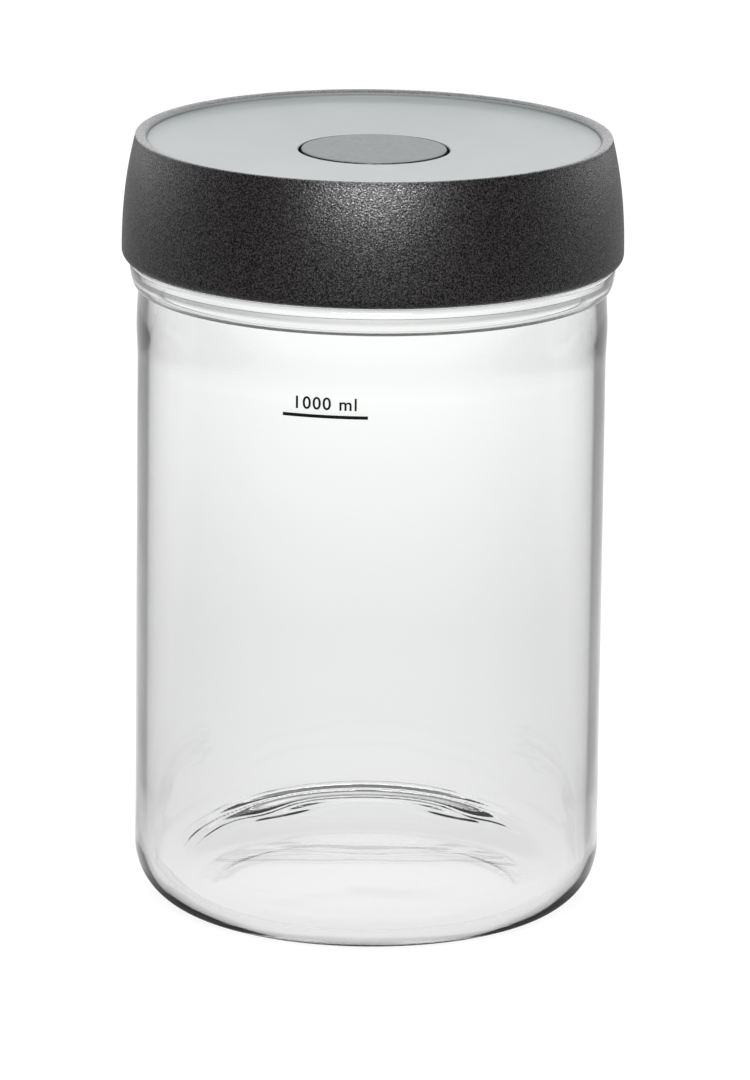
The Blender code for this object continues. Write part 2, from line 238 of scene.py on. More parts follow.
# Colours of the hidden parts and the ink
LINER_WHITE = (0.72, 0.72, 0.70)
SILICONE_WHITE = (0.66, 0.68, 0.68)
SILICONE_SCATTER = 0.002
STEEL_GREY = (0.58, 0.58, 0.59)
INK_BLACK = (0.002, 0.002, 0.002)
INK_GLOSS = 0.1
WHITE = (1.0, 1.0, 1.0)

# Printed mark on the front of the glass
MARK_HEIGHT = 0.1257
MARK_ANGLE = math.radians(-11.1)
MARK_HALF_LENGTH = 0.0097
MARK_THICKNESS = 0.00075
MARK_TEXT = "1000 ml"
MARK_TEXT_SIZE = 0.0040
MARK_TEXT_GAP = 0.0012
MARK_TEXT_WEIGHT = 0.00006
MARK_TEXT_SPACING = 1.14
INK_LIFT = 0.00004
INK_STEP = 0.0004

# Floor, with tones by the distance from the jar's axis or by the depth from front to back, painted shade
# near the jar through glass and a painted shadow round the heel in gloss
FLOOR_HALF_WIDTH = 6.0
FLOOR_DROP = 0.00005
FLOOR_GLOW = 0.88
FLOOR_DIFFUSE_SEEN = 0.16
FLOOR_DIFFUSE_IN_GLOSS = 0.10
FLOOR_DIFFUSE_THROUGH_GLASS = 0.04
FLOOR_DIFFUSE_AS_LIGHT = 0.75
# Painted shade: the floor seen through the glass is darker near the jar
FLOOR_SHADE_THROUGH_GLASS = ((0.0, 0.855), (0.035, 0.85), (0.043, 0.83), (0.052, 0.81), (0.060, 0.80),
                       (0.10, 0.80), (0.25, 0.79), (0.34, 0.84), (0.545, 0.95), (0.75, 0.98))
FLOOR_IN_GLASS_GLOSS = ((0.0, 0.09), (0.40, 0.13), (0.49, 0.40), (0.54, 1.0), (0.59, 1.0), (0.69, 0.74),
                        (0.74, 0.62), (0.80, 0.66))
FLOOR_IN_PLASTIC_GLOSS = ((0.0, 0.05), (0.40, 0.08), (0.49, 0.30), (0.54, 0.31))
FLOOR_GLOSS_REACH = 1.0
# Painted shadow: a dark ring on the floor round the heel, seen only in gloss
FLOOR_PAINTED_HEEL_SHADOW = ((0.0, 0.9), (0.036, 0.9), (0.038, 0.05), (0.052, 0.12), (0.062, 1.0))

# Surroundings, with tones from front to back in gloss and from low to high through glass
WORLD_SEEN = 1.0
WORLD_AS_LIGHT = 0.42
WORLD_IN_GLOSS = ((0.0, 0.045), (0.35, 0.03), (0.5, 0.22), (0.68, 0.62), (0.84, 0.95), (0.95, 0.97),
                  (0.99, 0.8))
WORLD_GLOSS_GAIN = 2.6
WORLD_THROUGH_GLASS = ((0.0, 0.99), (0.45, 0.97), (0.60, 0.40), (0.80, 0.15), (0.95, 0.15))

# Lamps: name, place, width, height and power
LAMP_TARGET = (0.0, 0.0, 0.1)
LAMPS = (
    ("front_lamp", (0.0, -1.5, 0.85), 1.0, 0.3, 40.0),
    ("top_lamp", (0.0, -0.1, 1.5), 0.9, 0.9, 24.0),
)

# Camera
CAMERA_DISTANCE = 2.000
CAMERA_HEIGHT = 0.5782
CAMERA_ASIDE = 0.00126
CAMERA_PITCH = math.radians(13.86)
CAMERA_ROLL = math.radians(0.68)
CAMERA_LENS = 300.26
CAMERA_SENSOR = 36.0
CAMERA_REACH = 50.0


def arc(centre_r, centre_z, radius, start, end, count):
    """Points along an arc of a profile, with angles in degrees from the outward direction."""
    points = []
    for index in range(count + 1):
        angle = math.radians(start + (end - start) * index / count)
        points.append((centre_r + radius * math.cos(angle), centre_z + radius * math.sin(angle)))
    return points


def ease(start, end, count):
    """Points of a smooth S-shaped step from one profile point to another, ends left out."""
    points = []
    for index in range(1, count):
        share = index / count
        across = (1 - math.cos(math.pi * share)) / 2
        points.append((start[0] + (end[0] - start[0]) * across, start[1] + (end[1] - start[1]) * share))
    return points


def dome(radius, low, rise, count):
    """Points from the middle of a shallow dome to its edge, middle first."""
    points = []
    for index in range(count):
        share = index / count
        points.append((radius * share, low + rise * (1 + math.cos(math.pi * share)) / 2))
    return points


def straight(start, end, count):
    """Evenly spaced points between two profile points, ends left out."""
    return [(start[0] + (end[0] - start[0]) * index / count,
             start[1] + (end[1] - start[1]) * index / count) for index in range(1, count)]


def in_scene(name, data):
    """A new object in the scene."""
    piece = bpy.data.objects.new(name, data)
    bpy.context.scene.collection.objects.link(piece)
    return piece


def turned(name, profile, steps, closed=True, shape=None, slot_of=None, materials=()):
    """Turn a profile about Z into a smooth solid; shape moves points, slot_of picks a material."""
    mesh = bpy.data.meshes.new(name)
    work = bmesh.new()
    rings = []
    for radius, height in profile:
        if radius < TINY:
            rings.append([work.verts.new((0.0, 0.0, height))])
            continue
        ring = []
        for step in range(steps):
            angle = 2 * math.pi * step / steps
            reach = shape(radius, height, angle) if shape else radius
            ring.append(work.verts.new((reach * math.cos(angle), reach * math.sin(angle), height)))
        rings.append(ring)
    pairs = list(zip(rings, rings[1:]))
    if closed:
        pairs.append((rings[-1], rings[0]))
    for upper, lower in pairs:
        for step in range(steps):
            after = (step + 1) % steps
            corners = [upper[step % len(upper)], lower[step % len(lower)],
                       lower[after % len(lower)], upper[after % len(upper)]]
            unique = list(dict.fromkeys(corners))
            if len(unique) > 2:
                work.faces.new(unique)
    bmesh.ops.recalc_face_normals(work, faces=work.faces)
    for face in work.faces:
        face.smooth = True
        if slot_of:
            middle = face.calc_center_median()
            face.material_index = slot_of(math.hypot(middle.x, middle.y), middle.z, face.normal.z)
    work.to_mesh(mesh)
    work.free()
    mesh.set_sharp_from_angle(angle=SHARP_ANGLE)
    for material in materials:
        mesh.materials.append(material)
    return in_scene(name, mesh)


def thread_rise(angle, height):
    """How far the neck's thread ridges stand out of its wall at one place."""
    highest = 0.0
    for start in range(THREAD_STARTS):
        turn = (math.degrees(angle) - 360 * start / THREAD_STARTS) % 360
        if turn > THREAD_ARC:
            continue
        centre = thread_start + THREAD_LEAD * turn / 360
        runout = min(1.0, turn / THREAD_RUNOUT, (THREAD_ARC - turn) / THREAD_RUNOUT)
        off = abs(height - centre) / THREAD_BEAD_RADIUS
        if off < 1.0:
            highest = max(highest, THREAD_DEPTH * runout * (1 - off * off) ** 0.5)
    return highest


def shader_of(material):
    """The Principled shader of a material."""
    return material.node_tree.nodes["Principled BSDF"]


def principled(name, colour, roughness, metallic=0.0):
    """A node material with one Principled shader."""
    material = bpy.data.materials.new(name)
    material.use_nodes = True
    shader = shader_of(material)
    shader.inputs["Base Color"].default_value = (*colour, 1.0)
    shader.inputs["Roughness"].default_value = roughness
    shader.inputs["Metallic"].default_value = metallic
    return material


def add_node(holder, kind, **values):
    """Add a node to a material or world and set its plain properties."""
    node = holder.node_tree.nodes.new(kind)
    for name, value in values.items():
        setattr(node, name, value)
    return node


def link(holder, source, socket_out, target, socket_in):
    """Link two sockets by name."""
    holder.node_tree.links.new(source.outputs[socket_out], target.inputs[socket_in])


def spread_values(holder, source, socket_out, from_range, to_range=(0.0, 1.0)):
    """A node that carries a value from one range over to another."""
    spread = add_node(holder, "ShaderNodeMapRange")
    spread.inputs["From Min"].default_value, spread.inputs["From Max"].default_value = from_range
    spread.inputs["To Min"].default_value, spread.inputs["To Max"].default_value = to_range
    link(holder, source, socket_out, spread, "Value")
    return spread


def colour_ramp(holder, stops):
    """A colour ramp with a list of (position, colour)."""
    ramp = add_node(holder, "ShaderNodeValToRGB")
    elements = ramp.color_ramp.elements
    while len(elements) > 1:
        elements.remove(elements[-1])
    for index, (place, colour) in enumerate(stops):
        element = elements[0] if index == 0 else elements.new(place)
        element.position = place
        element.color = (*colour, 1.0)
    return ramp


def object_place(holder, target):
    """Feed a node with places that are fixed to the object."""
    place = add_node(holder, "ShaderNodeTexCoord")
    link(holder, place, "Object", target, "Vector")
    return target


def object_height(holder):
    """A node whose Z is the height on the object."""
    return object_place(holder, add_node(holder, "ShaderNodeSeparateXYZ"))


def noise(material, scale, detail=2.0, roughness=0.5):
    """A noise pattern that is fixed to the object, in features per metre."""
    pattern = add_node(material, "ShaderNodeTexNoise")
    pattern.inputs["Scale"].default_value = scale
    pattern.inputs["Detail"].default_value = detail
    pattern.inputs["Roughness"].default_value = roughness
    return object_place(material, pattern)


def add_bump(material, pattern, strength, depth, socket="Fac"):
    """Raise the surface by a pattern."""
    bump = add_node(material, "ShaderNodeBump")
    bump.inputs["Strength"].default_value = strength
    bump.inputs["Distance"].default_value = depth
    link(material, pattern, socket, bump, "Height")
    link(material, bump, "Normal", shader_of(material), "Normal")


def vary_roughness(material, pattern, low, high):
    """Spread the roughness between two values by a pattern."""
    spread = spread_values(material, pattern, "Fac", ROUGHNESS_RANGE, (low, high))
    link(material, spread, "Result", shader_of(material), "Roughness")


def vary_gloss(material, pattern, low, high):
    """Spread the strength of the reflections between two values, with few strong spots."""
    spread = spread_values(material, pattern, "Fac", GLOSS_RANGE, (low, high))
    link(material, spread, "Result", shader_of(material), "Specular IOR Level")


def vary_colour(material, pattern, tones):
    """Spread the colour between two tones by a pattern."""
    ramp = colour_ramp(material, tuple(zip(COLOUR_RANGE, tones)))
    link(material, pattern, "Fac", ramp, "Fac")
    link(material, ramp, "Color", shader_of(material), "Base Color")


def glass_material(name, roughness=0.0, waves=GLASS_WAVES):
    """Clear glass with slight waves in its surface."""
    material = principled(name, WHITE, roughness)
    shader = shader_of(material)
    shader.inputs["Transmission Weight"].default_value = 1.0
    shader.inputs["IOR"].default_value = GLASS_INDEX
    add_bump(material, noise(material, waves["scale"], detail=1.0), strength=1.0, depth=waves["depth"])
    return material


def glass_with_painted_shade_material(name, shade_stops, low, high):
    """Clear glass with painted shade: greyer the more edge on it is seen, fading in from one height up to
    another.
    """
    material = glass_material(name)
    weight = add_node(material, "ShaderNodeLayerWeight")
    weight.inputs["Blend"].default_value = 0.5
    ramp = colour_ramp(material, [(place, [tone * hue for hue in EDGE_SHADE_HUE]) for place, tone in shade_stops])
    link(material, weight, "Facing", ramp, "Fac")
    fade = spread_values(material, object_height(material), "Z", (low, high))
    mix = add_node(material, "ShaderNodeMix", data_type="RGBA")
    mix.inputs["A"].default_value = (*WHITE, 1.0)
    link(material, fade, "Result", mix, "Factor")
    link(material, ramp, "Color", mix, "B")
    link(material, mix, "Result", shader_of(material), "Base Color")
    return material


def grained_plastic_material():
    """Dark moulded plastic with a fine spark-eroded grain."""
    material = principled("charcoal_plastic", CHARCOAL, roughness=0.33)
    pebbles = object_place(material, add_node(material, "ShaderNodeTexVoronoi"))
    pebbles.inputs["Scale"].default_value = 2700.0
    add_bump(material, pebbles, strength=1.0, depth=0.00005, socket="Distance")
    grain = noise(material, scale=3000.0, detail=1.0)
    vary_colour(material, grain, CHARCOAL_TONES)
    vary_gloss(material, grain, low=0.22, high=1.0)
    vary_roughness(material, noise(material, scale=3200.0, detail=1.0), low=0.24, high=0.42)
    return material


def lid_top_material():
    """The smoother satin finish of the recessed top, with reflections that fade up its rounded border as
    painted shade.
    """
    material = principled("satin_grey_plastic", SATIN, roughness=0.42)
    add_bump(material, noise(material, scale=4200.0), strength=0.25, depth=0.00006)
    vary_colour(material, noise(material, scale=60.0), SATIN_TONES)
    # Painted shade: reflections fade up the border of the recess
    border_shade = spread_values(material, object_height(material), "Z", (dish_top, fillet_top),
                            (SATIN_GLOSS, SATIN_BORDER_SHADE_GLOSS))
    link(material, border_shade, "Result", shader_of(material), "Specular IOR Level")
    return material


def button_material():
    """The matt button, a little coarser than the lid's top."""
    material = principled("matt_grey_plastic", MATT, roughness=0.58)
    add_bump(material, noise(material, scale=2600.0, detail=3.0, roughness=0.6), strength=0.5, depth=0.00012)
    vary_colour(material, noise(material, scale=900.0), MATT_TONES)
    return material


def liner_material():
    """Off-white food plastic."""
    material = principled("white_plastic", LINER_WHITE, roughness=0.38)
    add_bump(material, noise(material, scale=900.0), strength=0.15, depth=0.00005)
    vary_roughness(material, noise(material, scale=300.0), low=0.32, high=0.46)
    return material


def silicone_material():
    """Soft translucent silicone."""
    material = principled("silicone", SILICONE_WHITE, roughness=0.5)
    shader = shader_of(material)
    shader.inputs["Subsurface Weight"].default_value = 0.3
    shader.inputs["Subsurface Radius"].default_value = (SILICONE_SCATTER, SILICONE_SCATTER, SILICONE_SCATTER)
    add_bump(material, noise(material, scale=1800.0), strength=0.2, depth=0.00005)
    vary_roughness(material, noise(material, scale=400.0), low=0.42, high=0.58)
    return material


def steel_material():
    """Spring steel with fine rolled scratches."""
    material = principled("spring_steel", STEEL_GREY, roughness=0.3, metallic=1.0)
    scratches = noise(material, scale=3000.0)
    add_bump(material, scratches, strength=0.1, depth=0.00003)
    vary_roughness(material, scratches, low=0.22, high=0.38)
    return material


def ink_material():
    """Black ceramic ink."""
    material = principled("black_ink", INK_BLACK, roughness=0.7)
    shader_of(material).inputs["Specular IOR Level"].default_value = INK_GLOSS
    add_bump(material, noise(material, scale=5000.0), strength=0.2, depth=0.00002)
    return material


def ready(piece, body, node):
    """Let a piece ride on its body and stand for its node."""
    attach(piece, body)
    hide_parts(node)


def bead_underside(start, end):
    """The rounded underside of the bead, from its lip in to the body's wall."""
    first = math.pi / 2 * BEAD_UNDERSIDE_START
    points = []
    for index in range(1, CURVE_STEPS + 1):
        angle = math.pi / 2 * (BEAD_UNDERSIDE_START + (1 - BEAD_UNDERSIDE_START) * index / CURVE_STEPS)
        across = (math.cos(first) - math.cos(angle)) / math.cos(first)
        down = (math.sin(angle) - math.sin(first)) / (1 - math.sin(first))
        points.append((start[0] + (end[0] - start[0]) * across, start[1] + (end[1] - start[1]) * down))
    return points


def jar_profile():
    """The glass from the middle of its floor, up inside, over the rim and down outside."""
    shoulder_top = bead_bottom - BEAD_OVERHANG / 2
    shoulder_bottom = shoulder_top - SHOULDER_LENGTH
    corner_r = bore_radius - FLOOR_CORNER_RADIUS
    inside = dome(corner_r, BASE_THICKNESS, FLOOR_RISE, FLOOR_STEPS)
    inside += arc(corner_r, BASE_THICKNESS + FLOOR_CORNER_RADIUS, FLOOR_CORNER_RADIUS, -90, 0, CURVE_STEPS)
    neck_in = ((bore_radius, shoulder_bottom), (mouth_radius, bead_bottom))
    inside += [neck_in[0]] + ease(*neck_in, CURVE_STEPS) + [neck_in[1]]

    rim_height = jar_top - RIM_ROUNDING
    rim = arc(mouth_radius + RIM_ROUNDING, rim_height, RIM_ROUNDING, 180, 90, RIM_STEPS)
    rim += arc(neck_radius - RIM_ROUNDING, rim_height, RIM_ROUNDING, 90, 0, RIM_STEPS)
    thread_ends = ((neck_radius, thread_top), (neck_radius, thread_bottom))
    rows = round((thread_top - thread_bottom) / THREAD_RING_STEP)
    neck = [thread_ends[0]] + straight(*thread_ends, rows) + [thread_ends[1]]

    bead = arc(neck_radius + NECK_ROOT_RADIUS, bead_top + NECK_ROOT_RADIUS, NECK_ROOT_RADIUS,
               180, 270, RIM_STEPS)
    bead += arc(bead_radius - BEAD_CORNER, bead_top - BEAD_CORNER, BEAD_CORNER, 90, 0, CORNER_STEPS)
    bead += arc(bead_radius - BEAD_LIP, bead_edge + BEAD_LIP, BEAD_LIP, 0, BEAD_LIP_TURN, RING_CORNER_STEPS)
    waist = (body_radius, bead_bottom)
    bead += bead_underside(bead[-1], waist)

    swell = (body_radius + SHOULDER_SWELL, (shoulder_top + shoulder_bottom) / 2)
    wall_top = (body_radius, shoulder_bottom)
    outside = ease(waist, swell, SHOULDER_STEPS) + [swell] + ease(swell, wall_top, SHOULDER_STEPS)
    wave_top = (body_radius, HEEL_RADIUS + 2 * WAVE_PITCH)
    outside += [wall_top, wave_top]
    outside += straight(wave_top, (body_radius, HEEL_RADIUS), WAVE_STEPS)
    outside += arc(foot_radius, HEEL_RADIUS, HEEL_RADIUS, 0, HEEL_END_TURN, HEEL_STEPS)
    outside += arc(foot_radius, HEEL_RADIUS, HEEL_RADIUS, HEEL_END_TURN, -90, HEEL_END_STEPS)[1:]

    foot_inside = (foot_inner_radius, 0.0)
    step = (foot_inner_radius - PUNT_STEP_WIDTH, PUNT_STEP)
    under = [foot_inside] + ease(foot_inside, step, PUNT_EDGE_STEPS)
    under += list(reversed(dome(step[0] + PUNT_LAP, PUNT_STEP, PUNT_RISE - PUNT_STEP, PUNT_STEPS)))
    return inside + rim + neck + bead + outside + under


def heel_wave(height, angle):
    """How far the settled ripples and dents of the glass stand out at the back of the heel."""
    away = abs((angle - math.pi / 2 + math.pi) % (2 * math.pi) - math.pi)
    reach = WAVE_REACH_LEFT if math.cos(angle) < 0 else WAVE_REACH_RIGHT
    if away > reach:
        return 0.0
    fade = min(1.0, (reach - away) / (WAVE_FADE * reach))
    centre = WAVE_HEIGHT - WAVE_FALL * (1 - math.cos(away))
    off = height - centre
    wave = WAVE_DEPTH * fade * math.cos(2 * math.pi * off / WAVE_PITCH) * math.exp(-(off / WAVE_SPREAD) ** 2)
    for place in DENT_ANGLES:
        across = (math.pi / 2 - angle - place) / DENT_HALF_WIDTH
        along = (height - DENT_HEIGHT) / DENT_HALF_HEIGHT
        wave -= DENT_DEPTH * math.exp(-across ** 2 - along ** 2)
    return wave


def jar_shape(radius, height, angle):
    """The glass's radius at one place, with the thread's ridges and the heel's ripples."""
    shoulder_low = bead_bottom - SHOULDER_LENGTH - BEAD_OVERHANG
    heel_distance = math.hypot(radius - foot_radius, min(0.0, height - HEEL_RADIUS))
    if height < shoulder_low and abs(heel_distance - HEEL_RADIUS) < TINY:
        return radius + heel_wave(height, angle)
    if abs(radius - neck_radius) > TINY or not thread_bottom < height < thread_top:
        return radius
    return radius + thread_rise(angle, height)


def jar_slot(radius, height, facing):
    """Which glass a face has: 0 inside, 1 outside with painted edge shade, 2 the stippled foot ring, 3 the
    bead's lower band with painted shade.
    """
    in_foot_ring = foot_inner_radius - STIPPLE_MARGIN < radius < foot_radius + STIPPLE_MARGIN
    if in_foot_ring and height < STIPPLE_HEIGHT and facing < 0:
        return 2
    # The bead's lower band, which takes painted shade
    if radius > body_radius + BEAD_SHADE_MARGIN and bead_edge - BEAD_SHADE_DEPTH < height < bead_edge:
        return 3
    on_outside = radius > foot_radius and height < bead_top and radius > bore_radius + OUTSIDE_MARGIN
    return 1 if on_outside or (facing < 0 and height < HEEL_RADIUS) else 0


def make_jar():
    """The glass vessel."""
    bead_shade_low = bead_edge - BEAD_SHADE_DEPTH
    # The outside glass and the bead's lower band carry painted shade in their colour
    materials = (
        glass_material("clear_glass"),
        glass_with_painted_shade_material("clear_glass_outside_painted_shade", EDGE_PAINTED_SHADE, EDGE_SHADE_LOW, EDGE_SHADE_HIGH),
        glass_material("stippled_glass", STIPPLE_ROUGHNESS, STIPPLE),
        glass_with_painted_shade_material("bead_glass_painted_shade", BEAD_PAINTED_SHADE, bead_shade_low, bead_edge - BEAD_SHADE_DEPTH / 2),
    )
    jar = turned("jar_glass", jar_profile(), ROUND_STEPS, closed=False, shape=jar_shape, slot_of=jar_slot,
                 materials=materials)
    ready(jar, "jar", "glass_jar")


def wrap(mesh, height):
    """Bend a flat drawing in X and Y round the glass, centred on the printed mark."""
    for vertex in mesh.vertices:
        angle = (MARK_ANGLE * body_radius + vertex.co.x) / body_radius
        reach = body_radius + INK_LIFT + vertex.co.z
        vertex.co = (reach * math.sin(angle), -reach * math.cos(angle), height + vertex.co.y)


def make_fill_line(ink):
    """The printed line at one litre."""
    mesh = bpy.data.meshes.new("fill_line")
    work = bmesh.new()
    bmesh.ops.create_cube(work, size=1.0)
    for vertex in work.verts:
        vertex.co.x *= 2 * MARK_HALF_LENGTH
        vertex.co.y *= MARK_THICKNESS
        vertex.co.z *= INK_LIFT
    cuts = round(2 * MARK_HALF_LENGTH / INK_STEP)
    along = [edge for edge in work.edges if abs(edge.verts[0].co.x - edge.verts[1].co.x) > MARK_HALF_LENGTH]
    bmesh.ops.subdivide_edges(work, edges=along, cuts=cuts, use_grid_fill=True)
    work.to_mesh(mesh)
    work.free()
    wrap(mesh, MARK_HEIGHT)
    mesh.materials.append(ink)
    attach(in_scene("fill_line", mesh), "jar")


def make_fill_figure(ink):
    """The plain volume figure above the line."""
    curve = bpy.data.curves.new("fill_figure", "FONT")
    curve.body = MARK_TEXT
    curve.size = MARK_TEXT_SIZE
    curve.align_x = "CENTER"
    curve.space_character = MARK_TEXT_SPACING
    curve.offset = MARK_TEXT_WEIGHT
    curve.extrude = INK_LIFT / 2
    text = in_scene("fill_figure_text", curve)
    graph = bpy.context.evaluated_depsgraph_get()
    mesh = bpy.data.meshes.new_from_object(text.evaluated_get(graph))
    bpy.data.objects.remove(text, do_unlink=True)
    wrap(mesh, MARK_HEIGHT + MARK_THICKNESS / 2 + MARK_TEXT_GAP)
    mesh.materials.clear()
    mesh.materials.append(ink)
    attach(in_scene("fill_figure", mesh), "jar")


def shell_side_radius(height):
    """Outer radius of the skirt, straight below and drawn in towards the rim."""
    straight_top = shell_bottom + SHELL_STRAIGHT
    share = max(0.0, (height - straight_top) / (rim_top - straight_top))
    return shell_radius - SHELL_TAPER * share ** SHELL_TAPER_POWER


def shell_profile(rim_radius, recess_radius):
    """The lid's shell from the rim's edge down the skirt, up inside, and over the recessed top."""
    side_top = rim_top - RIM_EDGE_RADIUS
    side_bottom = shell_bottom + SHELL_STRAIGHT
    side = arc(rim_radius - RIM_EDGE_RADIUS, side_top, RIM_EDGE_RADIUS, 90, 0, RIM_STEPS)
    for index in range(1, TAPER_STEPS + 1):
        height = side_top + (side_bottom - side_top) * index / TAPER_STEPS
        side.append((shell_side_radius(height), height))
    side += arc(shell_radius - SHELL_EDGE_RADIUS, shell_bottom + SHELL_EDGE_RADIUS, SHELL_EDGE_RADIUS,
                0, -90, CORNER_STEPS)

    lip_radius = shell_bore_radius - SNAP_LIP_WIDTH
    lip_top = shell_bottom + SNAP_LIP_DEPTH
    inside = [
        (lip_radius, shell_bottom),
        (lip_radius, lip_top),
        (shell_bore_radius, lip_top),
        (shell_bore_radius, plate_bottom - LINER_CORNER),
        (shell_bore_radius - LINER_CORNER, plate_bottom),
        (well_radius, plate_bottom),
    ]

    dish_edge = (recess_radius - RECESS_FILLET_WIDTH, dish_top)
    top = [(well_radius, plate_top - WELL_CHAMFER), (well_radius + WELL_CHAMFER, plate_top)]
    top += straight((well_radius, plate_top), dish_edge, DISH_STEPS)
    for index in range(TAPER_STEPS + 1):
        angle = math.pi / 2 * index / TAPER_STEPS
        top.append((dish_edge[0] + RECESS_FILLET_WIDTH * math.sin(angle),
                    dish_edge[1] + (fillet_top - dish_edge[1]) * (1 - math.cos(angle))))
    top += arc(recess_radius + RIM_INNER_RADIUS, fillet_top, RIM_INNER_RADIUS,
               180, RIM_INNER_TURN, RING_CORNER_STEPS)[1:]
    band_in = top[-1]
    band_out = (rim_radius - RIM_EDGE_RADIUS, rim_top)
    for index in range(1, BAND_STEPS):
        left = 1 - index / BAND_STEPS
        top.append((band_out[0] + (band_in[0] - band_out[0]) * left,
                    band_out[1] + (band_in[1] - band_out[1]) * left ** 2))
    return side + inside + top


def make_shell(plastic):
    """The outer shell of the lid."""
    rim_radius = shell_side_radius(rim_top - RIM_EDGE_RADIUS)
    recess_radius = rim_radius - RIM_BAND

    def slot_of(radius, height, facing):
        in_recess = radius < recess_radius + SATIN_REACH and height > plate_top - SATIN_DROP
        return 1 if in_recess and facing > FACES_UP_A_LITTLE else 0

    shell = turned("lid_outer", shell_profile(rim_radius, recess_radius), ROUND_STEPS, slot_of=slot_of,
                   materials=(plastic, lid_top_material()))
    ready(shell, "lid", "lid_shell")


def make_button(plastic):
    """The round vent button with its hub and stem, its sides dark as painted shade in its gap."""
    groove_top = clip_high.z + SEAT_GAP
    groove_bottom = clip_low.z - SEAT_GAP
    edge = BUTTON_EDGE_RADIUS
    profile = [(0.0, button_top)]
    profile += straight((0.0, button_top), (button_radius - edge, button_top), BUTTON_TOP_STEPS)
    profile += arc(button_radius - edge, button_top - edge, edge, 90, 0, BUTTON_EDGE_STEPS)
    profile += [
        (button_radius, button_bottom),
        (hub_radius, button_bottom),
        (hub_radius, seal_bottom),
        (stem_radius, seal_bottom),
        (stem_radius, groove_top),
        (groove_radius, groove_top),
        (groove_radius, groove_bottom),
        (stem_radius, groove_bottom),
        (stem_radius, groove_bottom - STEM_TIP),
        (0.0, groove_bottom - STEM_TIP),
    ]

    # Faces that don't face up take the dark lid plastic: painted shade in the gap round the button
    def slot_of(radius, height, facing):
        return 0 if facing > FACES_UP else 1

    button = turned("vent_button", profile, SMALL_STEPS, closed=False, slot_of=slot_of,
                    materials=(button_material(), plastic))
    ready(button, "valve", "valve_cap")


def make_ring(silicone):
    """The silicone sealing ring."""
    corner = RING_CORNER
    outer = ring_high.x
    inner = mouth_radius - RING_INNER_LAP
    profile = arc(outer - corner, ring_high.z - corner, corner, 90, 0, RING_CORNER_STEPS)
    profile += arc(outer - corner, ring_low.z + corner, corner, 0, -90, RING_CORNER_STEPS)
    profile += arc(inner + corner, ring_low.z + corner, corner, 270, 180, RING_CORNER_STEPS)
    profile += arc(inner + corner, ring_high.z - corner, corner, 180, 90, RING_CORNER_STEPS)
    ring = turned("seal_ring", profile, ROUND_STEPS, materials=(silicone,))
    ready(ring, "seal", "sealing_ring")


def dress(node, material):
    """Give a solid of the frame its material."""
    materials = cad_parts[node].data.materials
    materials.clear()
    materials.append(material)


def blend_by(holder, factor, low, high):
    """A socket that goes from one socket or number to another by a factor socket."""
    mix = add_node(holder, "ShaderNodeMix", data_type="FLOAT")
    holder.node_tree.links.new(factor, mix.inputs["Factor"])
    for name, value in (("A", low), ("B", high)):
        if isinstance(value, (int, float)):
            mix.inputs[name].default_value = value
        else:
            holder.node_tree.links.new(value, mix.inputs[name])
    return mix.outputs["Result"]


def product(holder, first, second):
    """A socket with the product of a socket and a socket or number."""
    times = add_node(holder, "ShaderNodeMath", operation="MULTIPLY")
    holder.node_tree.links.new(first, times.inputs[0])
    if isinstance(second, (int, float)):
        times.inputs[1].default_value = second
    else:
        holder.node_tree.links.new(second, times.inputs[1])
    return times.outputs["Value"]


def tone_by_ray(holder, to_camera, in_gloss, through_glass, as_light):
    """A socket with a tone for each way in which the background is seen."""
    path = add_node(holder, "ShaderNodeLightPath")
    tone = blend_by(holder, path.outputs["Is Glossy Ray"], as_light, in_gloss)
    tone = blend_by(holder, path.outputs["Is Transmission Ray"], tone, through_glass)
    return blend_by(holder, path.outputs["Is Camera Ray"], tone, to_camera)


def tone_ramp(holder, source, stops):
    """A socket that follows a list of (position, tone)."""
    ramp = colour_ramp(holder, [(place, (tone, tone, tone)) for place, tone in stops])
    holder.node_tree.links.new(source, ramp.inputs["Fac"])
    return ramp.outputs["Color"]


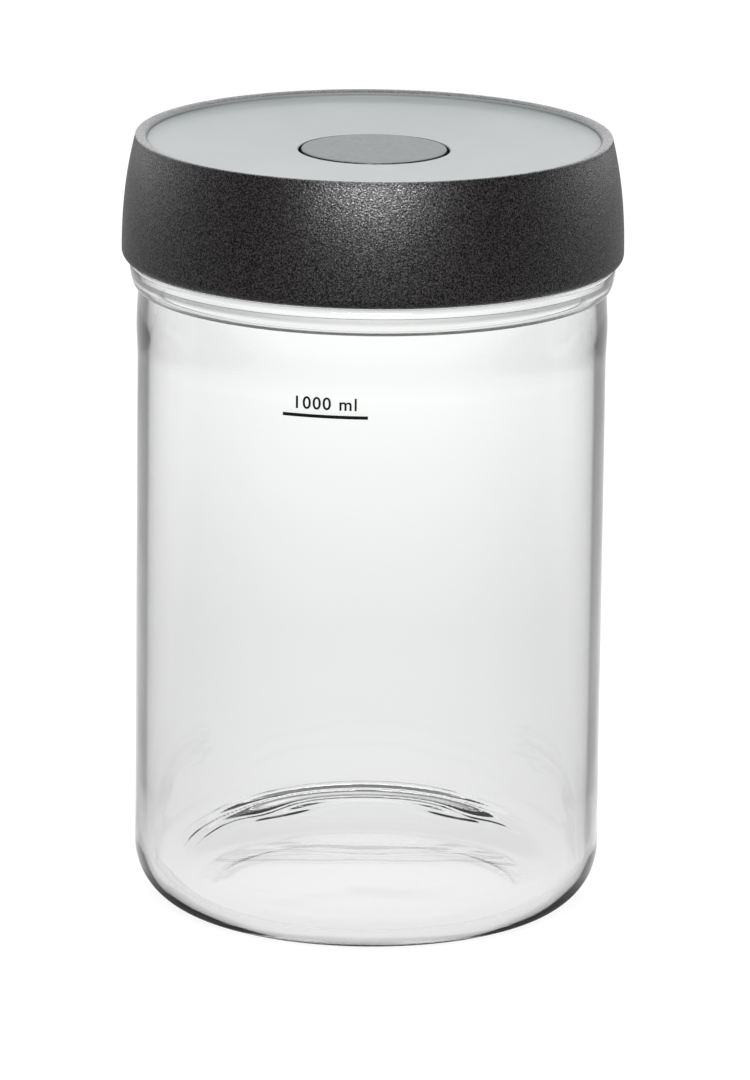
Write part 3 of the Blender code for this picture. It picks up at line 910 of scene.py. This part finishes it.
def floor_material():
    """White to the viewer, with tones of its own in gloss, painted shade near the jar through glass, a
    painted shadow round the heel in gloss, and a soft shadow.
    """
    material = bpy.data.materials.new("white_floor")
    material.use_nodes = True
    material.node_tree.nodes.clear()
    distance = object_place(material, add_node(material, "ShaderNodeVectorMath", operation="LENGTH"))
    through_glass = tone_ramp(material, distance.outputs["Value"], FLOOR_SHADE_THROUGH_GLASS)
    painted_heel_shadow = tone_ramp(material, distance.outputs["Value"], FLOOR_PAINTED_HEEL_SHADOW)
    depth = spread_values(material, object_height(material), "Y", (-FLOOR_GLOSS_REACH, FLOOR_GLOSS_REACH))
    in_glass_gloss = tone_ramp(material, depth.outputs["Result"], FLOOR_IN_GLASS_GLOSS)
    in_plastic_gloss = tone_ramp(material, depth.outputs["Result"], FLOOR_IN_PLASTIC_GLOSS)
    path = add_node(material, "ShaderNodeLightPath")
    in_gloss = blend_by(material, path.outputs["Is Singular Ray"], in_plastic_gloss, in_glass_gloss)
    # Painted shadow round the heel, in reflections only
    in_gloss = product(material, in_gloss, painted_heel_shadow)
    glow_tone = tone_by_ray(material, FLOOR_GLOW, in_gloss, through_glass, 0.0)
    diffuse_tone = tone_by_ray(material, FLOOR_DIFFUSE_SEEN, FLOOR_DIFFUSE_IN_GLOSS,
                               FLOOR_DIFFUSE_THROUGH_GLASS, FLOOR_DIFFUSE_AS_LIGHT)
    diffuse = add_node(material, "ShaderNodeBsdfDiffuse")
    material.node_tree.links.new(diffuse_tone, diffuse.inputs["Color"])
    glow = add_node(material, "ShaderNodeEmission")
    material.node_tree.links.new(glow_tone, glow.inputs["Strength"])
    both = add_node(material, "ShaderNodeAddShader")
    link(material, diffuse, "BSDF", both, 0)
    link(material, glow, "Emission", both, 1)
    output = add_node(material, "ShaderNodeOutputMaterial")
    link(material, both, "Shader", output, "Surface")
    return material


def make_floor():
    """A wide pale floor."""
    mesh = bpy.data.meshes.new("floor")
    half = FLOOR_HALF_WIDTH
    mesh.from_pydata([(-half, -half, 0), (half, -half, 0), (half, half, 0), (-half, half, 0)], [],
                     [(0, 1, 2, 3)])
    mesh.materials.append(floor_material())
    floor = in_scene("floor", mesh)
    floor.location.z = -FLOOR_DROP


def make_world():
    """White to the viewer, bright behind and dim in front in reflections, softly grey as a light."""
    world = bpy.data.worlds.new("studio")
    bpy.context.scene.world = world
    world.use_nodes = True
    background = world.node_tree.nodes["Background"]
    place = add_node(world, "ShaderNodeTexCoord")
    split = add_node(world, "ShaderNodeSeparateXYZ")
    link(world, place, "Generated", split, "Vector")
    depth = spread_values(world, split, "Y", (-1.0, 1.0))
    in_gloss = product(world, tone_ramp(world, depth.outputs["Result"], WORLD_IN_GLOSS), WORLD_GLOSS_GAIN)
    through_glass = tone_ramp(world, split.outputs["Z"], WORLD_THROUGH_GLASS)
    tone = tone_by_ray(world, WORLD_SEEN, in_gloss, through_glass, WORLD_AS_LIGHT)
    world.node_tree.links.new(tone, background.inputs["Strength"])
    background.inputs["Color"].default_value = (*WHITE, 1.0)


def make_lamps():
    """One wide soft lamp above the front and one broad one overhead, not seen themselves."""
    for name, place, width, height, power in LAMPS:
        light = bpy.data.lights.new(name, "AREA")
        light.shape = "RECTANGLE"
        light.size = width
        light.size_y = height
        light.energy = power
        lamp = in_scene(name, light)
        lamp.location = place
        lamp.rotation_euler = (Vector(LAMP_TARGET) - Vector(place)).to_track_quat("-Z", "Y").to_euler()
        lamp.visible_camera = False
        lamp.visible_transmission = False


def make_camera():
    """The photograph's viewpoint: a long lens, slightly above, with its small roll."""
    data = bpy.data.cameras.new("camera")
    data.sensor_width = CAMERA_SENSOR
    data.lens = CAMERA_LENS
    data.clip_end = CAMERA_REACH
    camera = in_scene("camera", data)
    camera.location = (CAMERA_ASIDE, -CAMERA_DISTANCE, CAMERA_HEIGHT)
    level = Euler((math.pi / 2 - CAMERA_PITCH, 0.0, 0.0)).to_matrix()
    roll = Euler((0.0, 0.0, CAMERA_ROLL)).to_matrix()
    camera.rotation_euler = (level @ roll).to_euler()
    bpy.context.scene.camera = camera


silicone = silicone_material()
ink = ink_material()
plastic = grained_plastic_material()
make_jar()
make_fill_line(ink)
make_fill_figure(ink)
make_shell(plastic)
make_button(plastic)
make_ring(silicone)
dress("lid_liner", liner_material())
dress("valve_seal", silicone)
dress("valve_clip", steel_material())
make_floor()
make_world()
make_lamps()
make_camera()

bpy.context.scene.view_settings.view_transform = "Standard"
